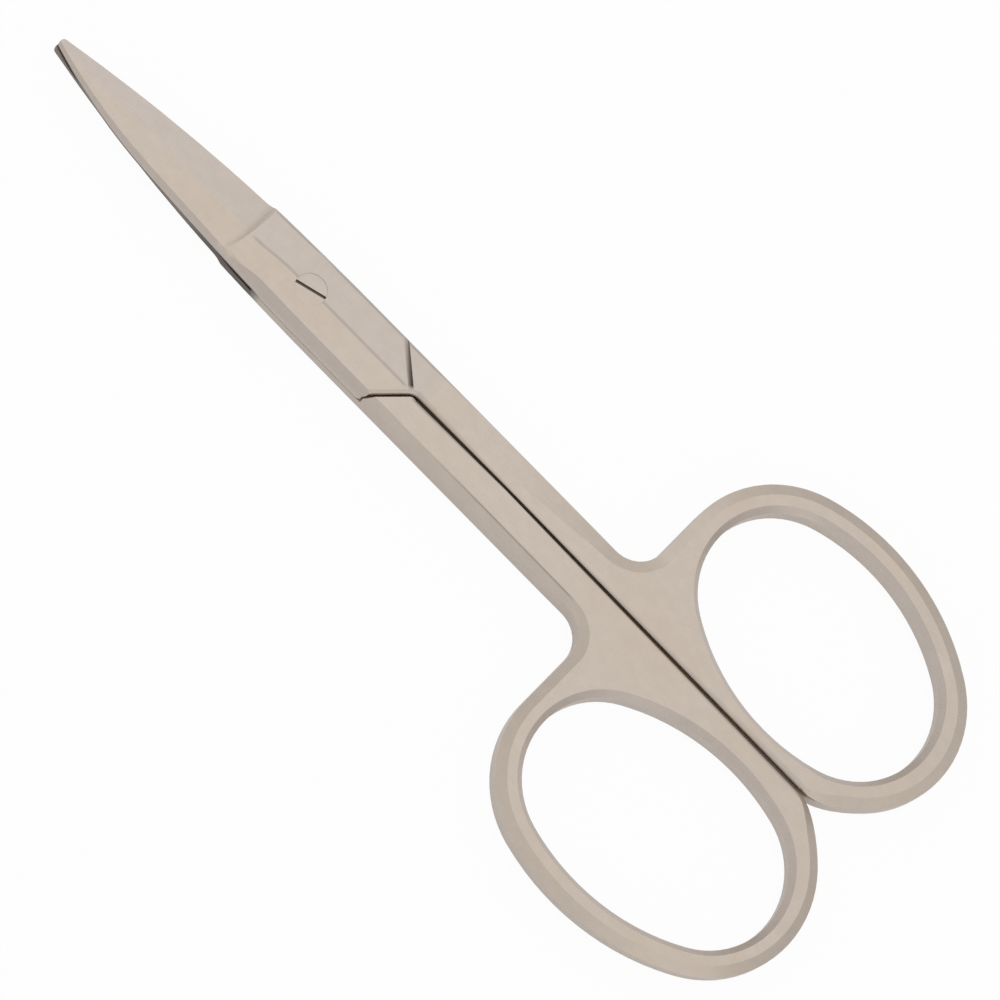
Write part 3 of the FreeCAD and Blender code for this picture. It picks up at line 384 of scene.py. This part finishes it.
def set_creases(mesh):
    """Smooth shading, with a crease where a bevel begins and at every steeper edge."""
    shell = bmesh.new()
    shell.from_mesh(mesh)
    for face in shell.faces:
        face.smooth = True
    for edge in shell.edges:
        pair = edge.link_faces
        if len(pair) == 2:
            bevel_begins = pair[0].material_index != pair[1].material_index
            edge.smooth = edge.calc_face_angle() < (BEVEL_ANGLE if bevel_begins else SHARP_ANGLE)
    shell.to_mesh(mesh)
    shell.free()


def bevelled(name, ring, way):
    """The half with its rims cut to flat bevels, which stands for the CAD node.

    The way is 1 where the outer face is up, and -1 for the half turned about the long axis.
    """

    def placed(verts):
        return [(PIVOT.x + x, way * fuller(ring, x, y), PIVOT.z + way * z) for x, y, z in verts]

    verts, faces = welded(nodes[name])
    verts = [(x - PIVOT.x, way * y, way * (z - PIVOT.z)) for x, y, z in verts]
    verts = [(x, *crisp(ring, x, y, z)) for x, y, z in verts]
    body = temporary(name + "_whole", placed(verts), faces, PLAIN)
    tools = [temporary(name + "_tool", placed(v), f, BEVEL) for v, f in bevel_cutters(ring)]
    for tool in tools:
        cut = body.modifiers.new("bevels", "BOOLEAN")
        cut.operation = "DIFFERENCE"
        cut.solver = "EXACT"
        cut.object = tool
    graph = bpy.context.evaluated_depsgraph_get()
    mesh = bpy.data.meshes.new_from_object(body.evaluated_get(graph))
    for holder in (body, *tools):
        bpy.data.objects.remove(holder)
    mesh.transform(Matrix.Scale(MM, 4))
    mesh.name = name + "_bevelled"
    set_creases(mesh)
    piece = bpy.data.objects.new(name + "_bevelled", mesh)
    scene.collection.objects.link(piece)
    even = piece.modifiers.new("even_shading", "WEIGHTED_NORMAL")
    even.keep_sharp = True
    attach(piece, name)
    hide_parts(name)
    return piece


def flush_screw():
    """The pivot screw with its head ground to the same ridge as the joint round it."""
    verts, faces = welded(nodes["pivot_screw"])
    shaped = []
    for x, y, z in verts:
        out = math.hypot(x - PIVOT.x, y)
        above = z - PIVOT.z
        if above > FACE_ABOVE:
            z += HEAD_RISE - (SPINE_SLOPE if y > 0 else EDGE_SLOPE) * abs(y)
        elif above > SLOT_ABOVE:
            z += SLOT_RISE
        if out > SIDE_OUT and above > SIDE_ABOVE:
            x = PIVOT.x + (x - PIVOT.x) * HEAD_RADIUS / out
            y = y * HEAD_RADIUS / out
        shaped.append((x * MM, y * MM, z * MM))
    mesh = bpy.data.meshes.new("pivot_screw_flush")
    mesh.from_pydata(shaped, [], faces)
    mesh.shade_smooth()
    mesh.set_sharp_from_angle(angle=SHARP_ANGLE)
    piece = bpy.data.objects.new("pivot_screw_flush", mesh)
    scene.collection.objects.link(piece)
    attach(piece, "lower_half")
    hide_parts("pivot_screw")
    return piece


upper_ring = Ring(width=16.6, bar=2.35, far_bar=2.5, inner_bar=1.45, bevel=0.95, bevel_depth=0.36)
lower_ring = Ring(width=15.9, bar=2.15, far_bar=2.2, inner_bar=2.3, bevel=0.84, bevel_depth=0.5)
upper_half = bevelled("upper_half", upper_ring, 1)
lower_half = bevelled("lower_half", lower_ring, -1)
screw = flush_screw()


class Nodes:
    """Short calls for building one node tree."""

    COLUMNS = 9
    COLUMN_WIDTH = 220
    ROW_HEIGHT = 180

    def __init__(self, tree):
        self.tree = tree
        self.count = 0

    def put(self, socket, value):
        """Link a socket to another node's output, or give it a plain value."""
        if isinstance(value, bpy.types.NodeSocket):
            self.tree.links.new(value, socket)
        else:
            socket.default_value = value

    def add(self, kind, inputs=None, **settings):
        node = self.tree.nodes.new(kind)
        self.count += 1
        row, column = divmod(self.count, self.COLUMNS)
        node.location = (-self.COLUMN_WIDTH * column, -self.ROW_HEIGHT * row)
        for name, value in settings.items():
            setattr(node, name, value)
        for name, value in (inputs or {}).items():
            self.put(node.inputs[name], value)
        return node

    def math(self, operation, first, second=0.0):
        return self.add("ShaderNodeMath", {0: first, 1: second}, operation=operation).outputs[0]

    def product(self, *values):
        result = values[0]
        for value in values[1:]:
            result = self.math("MULTIPLY", result, value)
        return result

    def weighed(self, *pairs):
        """Sum of values, each times its weight."""
        result = self.math("MULTIPLY", *pairs[0])
        for pair in pairs[1:]:
            result = self.math("ADD", result, self.math("MULTIPLY", *pair))
        return result

    def ramp(self, value, low, high, to_low=0.0, to_high=1.0):
        """Smooth step of value between low and high."""
        node = self.add("ShaderNodeMapRange", {"Value": value, "From Min": low, "From Max": high})
        node.interpolation_type = "SMOOTHSTEP"
        node.inputs["To Min"].default_value = to_low
        node.inputs["To Max"].default_value = to_high
        return node.outputs[0]

    def fall(self, value, low, high):
        """Smooth step from 1 at low to 0 at high."""
        return self.ramp(value, low, high, 1.0, 0.0)

    def mix(self, factor, first, second, blend_type="MIX"):
        node = self.add("ShaderNodeMix", data_type="RGBA", blend_type=blend_type)
        for socket, value in ((0, factor), (6, first), (7, second)):
            self.put(node.inputs[socket], value)
        return node.outputs[2]

    def shaded(self, colour, shade):
        """Colour times one number."""
        grey = self.add("ShaderNodeCombineColor", {0: shade, 1: shade, 2: shade}).outputs[0]
        return self.mix(1.0, colour, grey, "MULTIPLY")

    def noise(self, coordinates, scale, detail, rough):
        """Noise in coordinates scaled by three factors per metre."""
        mapped = self.add("ShaderNodeMapping", {"Vector": coordinates, "Scale": scale})
        texture = self.add("ShaderNodeTexNoise", {"Vector": mapped.outputs[0], "Scale": 1.0})
        texture.inputs["Detail"].default_value = detail
        texture.inputs["Roughness"].default_value = rough
        return texture.outputs["Fac"]


# Millimetres in a half's own frame, and how far the surface faces outwards
Place = namedtuple("Place", "x y z outward")


def own_frame(n, coordinates, way):
    place = n.add("ShaderNodeSeparateXYZ", {0: coordinates.outputs["Object"]}).outputs
    normal = n.add("ShaderNodeSeparateXYZ", {0: coordinates.outputs["Normal"]}).outputs
    x = n.math("SUBTRACT", n.math("MULTIPLY", place[0], PER_METRE), PIVOT.x)
    y = n.math("MULTIPLY", place[1], PER_METRE * way)
    z = n.math("MULTIPLY", n.math("SUBTRACT", place[2], PIVOT.z * MM), PER_METRE * way)
    return Place(x, y, z, n.math("MULTIPLY", normal[2], way))


# Spans of the marks. A pair is where a mark begins and where it is full, or the other way round,
# and four numbers also give the values at both ends. Those named FACE, WALL or TILT are spans of
# how far the surface faces outwards, and the others are in millimetres
RIDGE_DRIFT_X = (2.0, 6.0)
RIDGE_DRIFT = 0.3
RIDGE_START_X = (-10.7, -10.1)
RIDGE_END_X = (5.5, 6.3)
RIDGE_LINE = (0.05, 0.2)
RIDGE_FACE = (0.6, 0.9)
RIDGE_DARKER = 0.2

GROOVE_X = -10.74
GROOVE_Y = -0.28
GROOVE_COS = 0.741
GROOVE_SIN = 0.6715
GROOVE_EDGE = (0.17, 0.27)
GROOVE_START = (-0.35, 0.0)
GROOVE_Z = (0.8, 0.95)
GROOVE_ALONG = (0.2, 4.2, 0.7, 0.35)
GROOVE_ACROSS = (-0.12, 0.16, 1.0, 0.4)

BETWEEN_WALL = (0.3, 0.55)
BETWEEN_REACH = (-0.2, 0.2, 1.1, 0.34)
BETWEEN_FADE = (0.75, 1.1)
BETWEEN_START_X = (2.0, 3.4)
BETWEEN_DARKNESS = (8.0, 11.0, 0.75, 0.6)
BETWEEN_Z = (-0.3, -0.1)

HEM_X = 7.25
HEM_Y = -2.9
HEM_LENGTH = 20.1
HEM_RISE = 2.4
HEM_BOW = 1.46
HEM_LINE = (0.35, 0.6, 0.6, 0.0)
HEM_FACE = (-0.8, -0.5)
HEM_START_X = (3.0, 5.0)

HOLLOW_START_X = (5.8, 6.2)
HOLLOW_END_X = (7.3, 7.8)
HOLLOW_LEAST_TILT = (0.9, 0.985)
HOLLOW_MOST_TILT = (0.4, 0.6)
HOLLOW_BRIGHTER = 0.12

CREASE_Y = -2.52
CREASE_LINE = (0.03, 0.11)
CREASE_START_X = (-31.8, -30.5)
CREASE_END_X = (-22.0, -13.5)
CREASE_Z = (-0.6, -0.4)
CREASE_DARKER = 0.3

COOL_SIDE_Y = (-0.15, 0.15)
COOL_START_X = (-13.0, -11.0)
COOL_Z = (0.2, 0.3)
STEEP_TILT = (0.7, 0.85)
STEEP_BRIGHTER = 0.07

SCREW_DARKER = (1.2, 1.3, 0.6, 0.0)
SCREW_DARKER_Z = (0.9, 0.95)
SCREW_WARMTH_Y = (-2.0, 2.0)


def ridge_line(n, at):
    """The ridge of the joint plate, a fine dark line, part grinding line and part painted shade,
    that drifts towards the spine near the blade.
    """
    drift = n.ramp(at.x, *RIDGE_DRIFT_X, 0.0, RIDGE_DRIFT)
    aside = n.math("ABSOLUTE", n.math("SUBTRACT", at.y, drift))
    ends = n.product(n.ramp(at.x, *RIDGE_START_X), n.fall(at.x, *RIDGE_END_X))
    return n.product(n.fall(aside, *RIDGE_LINE), ends, n.ramp(at.outward, *RIDGE_FACE))


def groove_grime_and_shade(n, at):
    """Grime and painted shade in the groove, which runs from the apex of the vee to the joint's
    side.
    """
    from_x = n.math("SUBTRACT", at.x, GROOVE_X)
    from_y = n.math("SUBTRACT", at.y, GROOVE_Y)
    across = n.weighed((from_x, GROOVE_SIN), (from_y, GROOVE_COS))
    along = n.weighed((from_x, GROOVE_COS), (from_y, -GROOVE_SIN))
    inside = n.fall(n.math("ABSOLUTE", across), *GROOVE_EDGE)
    inside = n.product(inside, n.ramp(along, *GROOVE_START), n.ramp(at.z, *GROOVE_Z))
    return n.product(inside, n.ramp(along, *GROOVE_ALONG), n.ramp(across, *GROOVE_ACROSS))


def shade_between_blades(n, at):
    """Painted shade on the narrow walls that lie between the closed blades."""
    wall = n.fall(n.math("ABSOLUTE", at.outward), *BETWEEN_WALL)
    reach = n.ramp(at.y, *BETWEEN_REACH)
    near_middle = n.fall(n.math("DIVIDE", at.z, reach), *BETWEEN_FADE)
    darkness = n.product(n.ramp(at.x, *BETWEEN_START_X), n.ramp(at.x, *BETWEEN_DARKNESS))
    return n.product(wall, near_middle, darkness, n.ramp(at.z, *BETWEEN_Z))


def edge_shade_hem(n, at):
    """A narrow hem of painted shade on the inner face, along the bowed cutting edge, where the other
    blade shades it.
    """
    share = n.math("DIVIDE", n.math("SUBTRACT", at.x, HEM_X), HEM_LENGTH)
    bow = n.product(share, n.math("SUBTRACT", 1.0, share), HEM_BOW)
    edge = n.math("SUBTRACT", n.math("MULTIPLY", share, HEM_RISE), bow)
    aside = n.math("SUBTRACT", n.math("SUBTRACT", at.y, HEM_Y), edge)
    inner_face = n.fall(at.outward, *HEM_FACE)
    return n.product(n.ramp(aside, *HEM_LINE), inner_face, n.ramp(at.x, *HEM_START_X))


def painted_light_hollow(n, at):
    """Painted light in the hollow where the blade's ground face runs out, lightening its dark
    reflection.
    """
    ends = n.product(n.ramp(at.x, *HOLLOW_START_X), n.fall(at.x, *HOLLOW_END_X))
    tilted = n.fall(at.outward, *HOLLOW_LEAST_TILT)
    return n.product(ends, tilted, n.ramp(at.outward, *HOLLOW_MOST_TILT))


def crease_line(n, at):
    """A fine dark line along the crease of the shank's bevel, on the inner face: partly grime and
    partly painted shade.
    """
    aside = n.math("ABSOLUTE", n.math("SUBTRACT", at.y, CREASE_Y))
    on_shank = n.product(n.ramp(at.x, *CREASE_START_X), n.fall(at.x, *CREASE_END_X))
    return n.product(n.fall(aside, *CREASE_LINE), on_shank, n.fall(at.z, *CREASE_Z))


def half_marks(n, coordinates, way):
    """How bright, how dark with grime and painted shade, and how warm each place of a half is; much
    of it is painted light and shade.
    """
    at = own_frame(n, coordinates, way)

    # Walls and steep bevels are painted cooler and a little brighter, a painted reflection of the
    # pale surroundings
    steep = n.fall(n.math("ABSOLUTE", at.outward), *STEEP_TILT)
    changes = n.weighed(
        (ridge_line(n, at), -RIDGE_DARKER),
        (painted_light_hollow(n, at), HOLLOW_BRIGHTER),
        (crease_line(n, at), -CREASE_DARKER),
        (steep, STEEP_BRIGHTER),
    )
    shade = n.math("ADD", changes, 1.0)
    dirt_and_shade = n.math("MAXIMUM", groove_grime_and_shade(n, at), shade_between_blades(n, at))
    dirt_and_shade = n.math("MAXIMUM", dirt_and_shade, edge_shade_hem(n, at))

    # The joint plate and the blade are painted cooler on the cutting edge's side of the ridge, a
    # painted tint for the light that side reflects
    cool = n.product(n.fall(at.y, *COOL_SIDE_Y), n.ramp(at.x, *COOL_START_X), n.ramp(at.z, *COOL_Z))
    return shade, dirt_and_shade, n.math("SUBTRACT", 1.0, n.math("MAXIMUM", cool, steep))


def screw_marks(n, coordinates, way):
    """The same for the screw: even, darker in the slot and in the seam round the head, and painted
    cooler on the cutting edge's side.
    """
    at = own_frame(n, coordinates, way)
    dirt_and_shade = n.product(n.ramp(at.z, *SCREW_DARKER), n.ramp(at.z, *SCREW_DARKER_Z))
    return 1.0, dirt_and_shade, n.ramp(at.y, *SCREW_WARMTH_Y)


# Colours of the finish. Warm and cool steel are the tone times these factors
STEEL_TONE = (0.55, 0.488, 0.43)
# BEVEL_TONE is the steel painted lighter and cooler, a painted reflection on the slanted bevels
BEVEL_TONE = (0.57, 0.526, 0.486)
WARM = (1.025, 1.0, 0.975)
COOL = (0.985, 0.99, 1.02)
# Colour of grime and of painted shade
GRIME_AND_SHADE_COLOUR = (0.035, 0.031, 0.027, 1.0)

# Noise of the finish: repeats per metre along X, Y and Z, detail, roughness
CLOUD = ((120, 220, 220), 3.0, 0.5)
PATCH = ((800, 1100, 1100), 2.0, 0.5)
BRUSH = ((700, 22000, 22000), 3.0, 0.6)
CROSS = ((12000, 1400, 5000), 2.0, 0.5)
GRAIN = ((11000, 11000, 11000), 2.0, 0.5)

# What the noise does to tone, shade and roughness: from low, high to low, high
TONE_BY_CLOUD = (0.35, 0.65, 0.0, 0.3)
TONE_BY_WARMTH = 0.7
SHADE_BY_PATCH = (0.3, 0.75, 0.975, 1.015)
SHADE_BY_BRUSH = (0.36, 0.64, 0.975, 1.02)
SHADE_BY_CROSS = (0.38, 0.62, 0.985, 1.01)
ROUGH_BY_CLOUD = (0.3, 0.7, 0.28, 0.33)
ROUGH_BY_BRUSH = (0.35, 0.65, -0.03, 0.04)
ROUGH_BY_GRIME_AND_SHADE = 0.3
HEIGHT_BY_BRUSH = 0.7
HEIGHT_BY_CROSS = 0.3
HEIGHT_BY_GRAIN = 0.3
BUMP_STRENGTH = 0.06
BUMP_DISTANCE = 0.02 * MM


def steel(name, tone, marks, way):
    """Satin steel: brushed along the part, with faint scratches, its own marks of painted light and
    shade, and grime.
    """
    material = bpy.data.materials.new(name)
    material.use_nodes = True
    tree = material.node_tree
    tree.nodes.clear()
    n = Nodes(tree)
    coordinates = n.add("ShaderNodeTexCoord")
    place = coordinates.outputs["Object"]
    shade, dirt_and_shade, warmth = marks(n, coordinates, way)

    # The tone drifts slowly between cool and warm, and leans cool where the marks paint light on
    # steep faces and the cutting edge's side
    cloud = n.noise(place, *CLOUD)
    patch = n.noise(place, *PATCH)
    warm = (*(part * factor for part, factor in zip(tone, WARM)), 1.0)
    cool = (*(part * factor for part, factor in zip(tone, COOL)), 1.0)
    lean = n.math("ADD", n.math("MULTIPLY", warmth, TONE_BY_WARMTH), n.ramp(cloud, *TONE_BY_CLOUD))
    colour = n.mix(lean, cool, warm)
    colour = n.shaded(colour, n.ramp(patch, *SHADE_BY_PATCH))

    # Brushing along the part, and fine scratches that cross it
    brush = n.noise(place, *BRUSH)
    cross = n.noise(place, *CROSS)
    grain = n.noise(place, *GRAIN)
    colour = n.shaded(colour, n.ramp(brush, *SHADE_BY_BRUSH))
    colour = n.shaded(colour, n.ramp(cross, *SHADE_BY_CROSS))
    # Painted light and shade from the marks, then grime and painted shade
    colour = n.shaded(colour, shade)
    colour = n.mix(dirt_and_shade, colour, GRIME_AND_SHADE_COLOUR)

    rough = n.math("ADD", n.ramp(cloud, *ROUGH_BY_CLOUD), n.ramp(brush, *ROUGH_BY_BRUSH))
    rough = n.math("ADD", rough, n.math("MULTIPLY", dirt_and_shade, ROUGH_BY_GRIME_AND_SHADE))
    height = n.weighed((brush, HEIGHT_BY_BRUSH), (cross, HEIGHT_BY_CROSS), (grain, HEIGHT_BY_GRAIN))
    bump = n.add("ShaderNodeBump", {
        "Height": height, "Strength": BUMP_STRENGTH, "Distance": BUMP_DISTANCE,
    })
    shader = n.add("ShaderNodeBsdfPrincipled", {
        "Base Color": colour, "Metallic": 1.0, "Roughness": rough, "Normal": bump.outputs[0],
    })
    n.add("ShaderNodeOutputMaterial", {0: shader.outputs[0]})
    return material


for piece, side, way in ((upper_half, "upper", 1), (lower_half, "lower", -1)):
    piece.data.materials.clear()
    piece.data.materials.append(steel(side + "_steel_finish", STEEL_TONE, half_marks, way))
    # The bevels get a lighter, cooler copy of the steel: a painted reflection
    piece.data.materials.append(steel(side + "_bevel_painted_light", BEVEL_TONE, half_marks, way))
screw.data.materials.append(steel("screw_steel_finish", STEEL_TONE, screw_marks, 1))

# Two soft square lamps that look at the part: name, place, size, power, colour
LAMPS = [
    ("soft_top", (0.15, -0.25, 0.60), 0.6, 0.22, (1.0, 0.99, 0.975)),
    ("soft_side", (-0.45, 0.30, 0.35), 0.4, 0.10, (1.0, 0.985, 0.97)),
]
for name, place, size, power, colour in LAMPS:
    lamp = bpy.data.lights.new(name, "AREA")
    lamp.shape = "SQUARE"
    lamp.size = size
    lamp.energy = power
    lamp.color = colour
    holder = bpy.data.objects.new(name, lamp)
    scene.collection.objects.link(holder)
    holder.location = place
    holder.rotation_euler = (-Vector(place)).to_track_quat("-Z", "Y").to_euler()

# Surroundings: bright above, dimmer towards the horizon, white where the camera looks past
WHITE = (1, 1, 1, 1)
HORIZON = (0.70, 0.69, 0.68, 1)
ZENITH = (0.90, 0.895, 0.89, 1)
SKY_SPAN = (0.1, 0.8)
world = bpy.data.worlds.new("studio")
scene.world = world
world.use_nodes = True
world.node_tree.nodes.clear()
w = Nodes(world.node_tree)
direction = w.add("ShaderNodeTexCoord").outputs["Generated"]
height = w.add("ShaderNodeSeparateXYZ", {0: direction}).outputs[2]
sky = w.mix(w.ramp(height, *SKY_SPAN), HORIZON, ZENITH)
rays = w.add("ShaderNodeLightPath").outputs
colour = w.mix(rays["Is Camera Ray"], sky, WHITE)
surround = w.add("ShaderNodeBackground", {"Color": colour, "Strength": 1.0})
w.add("ShaderNodeOutputWorld", {0: surround.outputs[0]})

# Floor: nearly white to the camera, pale in reflections, with a faint shadow
FLOOR_SIZE = 6.0
FLOOR_Z = -0.02 * MM
PAPER = (0.86, 0.86, 0.85, 1)
WHITE_TO_CAMERA = 0.95
WHITE_IN_MIRROR = 0.4
bpy.ops.mesh.primitive_plane_add(size=FLOOR_SIZE, location=(0, 0, FLOOR_Z))
floor = bpy.context.object
floor.name = "floor"
paper = bpy.data.materials.new("white_paper")
paper.use_nodes = True
paper.node_tree.nodes.clear()
p = Nodes(paper.node_tree)
diffuse = p.add("ShaderNodeBsdfDiffuse", {"Color": PAPER})
glow = p.add("ShaderNodeEmission", {"Color": WHITE, "Strength": 1.0})
rays = p.add("ShaderNodeLightPath").outputs
mirrored = p.math("MULTIPLY", rays["Is Glossy Ray"], WHITE_IN_MIRROR)
seen = p.math("MULTIPLY", rays["Is Camera Ray"], WHITE_TO_CAMERA)
share = p.math("MAXIMUM", seen, mirrored)
both = p.add("ShaderNodeMixShader", {0: share, 1: diffuse.outputs[0], 2: glow.outputs[0]})
p.add("ShaderNodeOutputMaterial", {0: both.outputs[0]})
floor.data.materials.append(paper)

# Camera at the photograph's angle. The focal length is in pixels of the picture
AZIMUTH, ELEVATION, ROLL = 180.0136, 65.456, 45.4332
TARGET = Vector((-4.7268, 0.4705, 1.4)) * MM
DISTANCE = 358.897 * MM
SENSOR = 36.0
FOCAL_PIXELS = 4637.12
PICTURE_PIXELS = 1000
NEAREST, FARTHEST = 0.01, 20.0
a, e, r = (math.radians(v) for v in (AZIMUTH, ELEVATION, ROLL))
back = Vector((math.sin(a) * math.cos(e), -math.cos(a) * math.cos(e), math.sin(e)))
right = Vector((math.cos(a), math.sin(a), 0.0))
up = back.cross(right)
turned_right = right * math.cos(r) + up * math.sin(r)
turned_up = up * math.cos(r) - right * math.sin(r)
lens = bpy.data.cameras.new("photo_camera")
lens.sensor_width = SENSOR
lens.lens = SENSOR * FOCAL_PIXELS / PICTURE_PIXELS
lens.clip_start, lens.clip_end = NEAREST, FARTHEST
camera = bpy.data.objects.new("photo_camera", lens)
scene.collection.objects.link(camera)
turn = Matrix((turned_right, turned_up, back)).transposed()
camera.matrix_world = Matrix.Translation(TARGET + back * DISTANCE) @ turn.to_4x4()
scene.camera = camera
scene.view_settings.view_transform = "Standard"
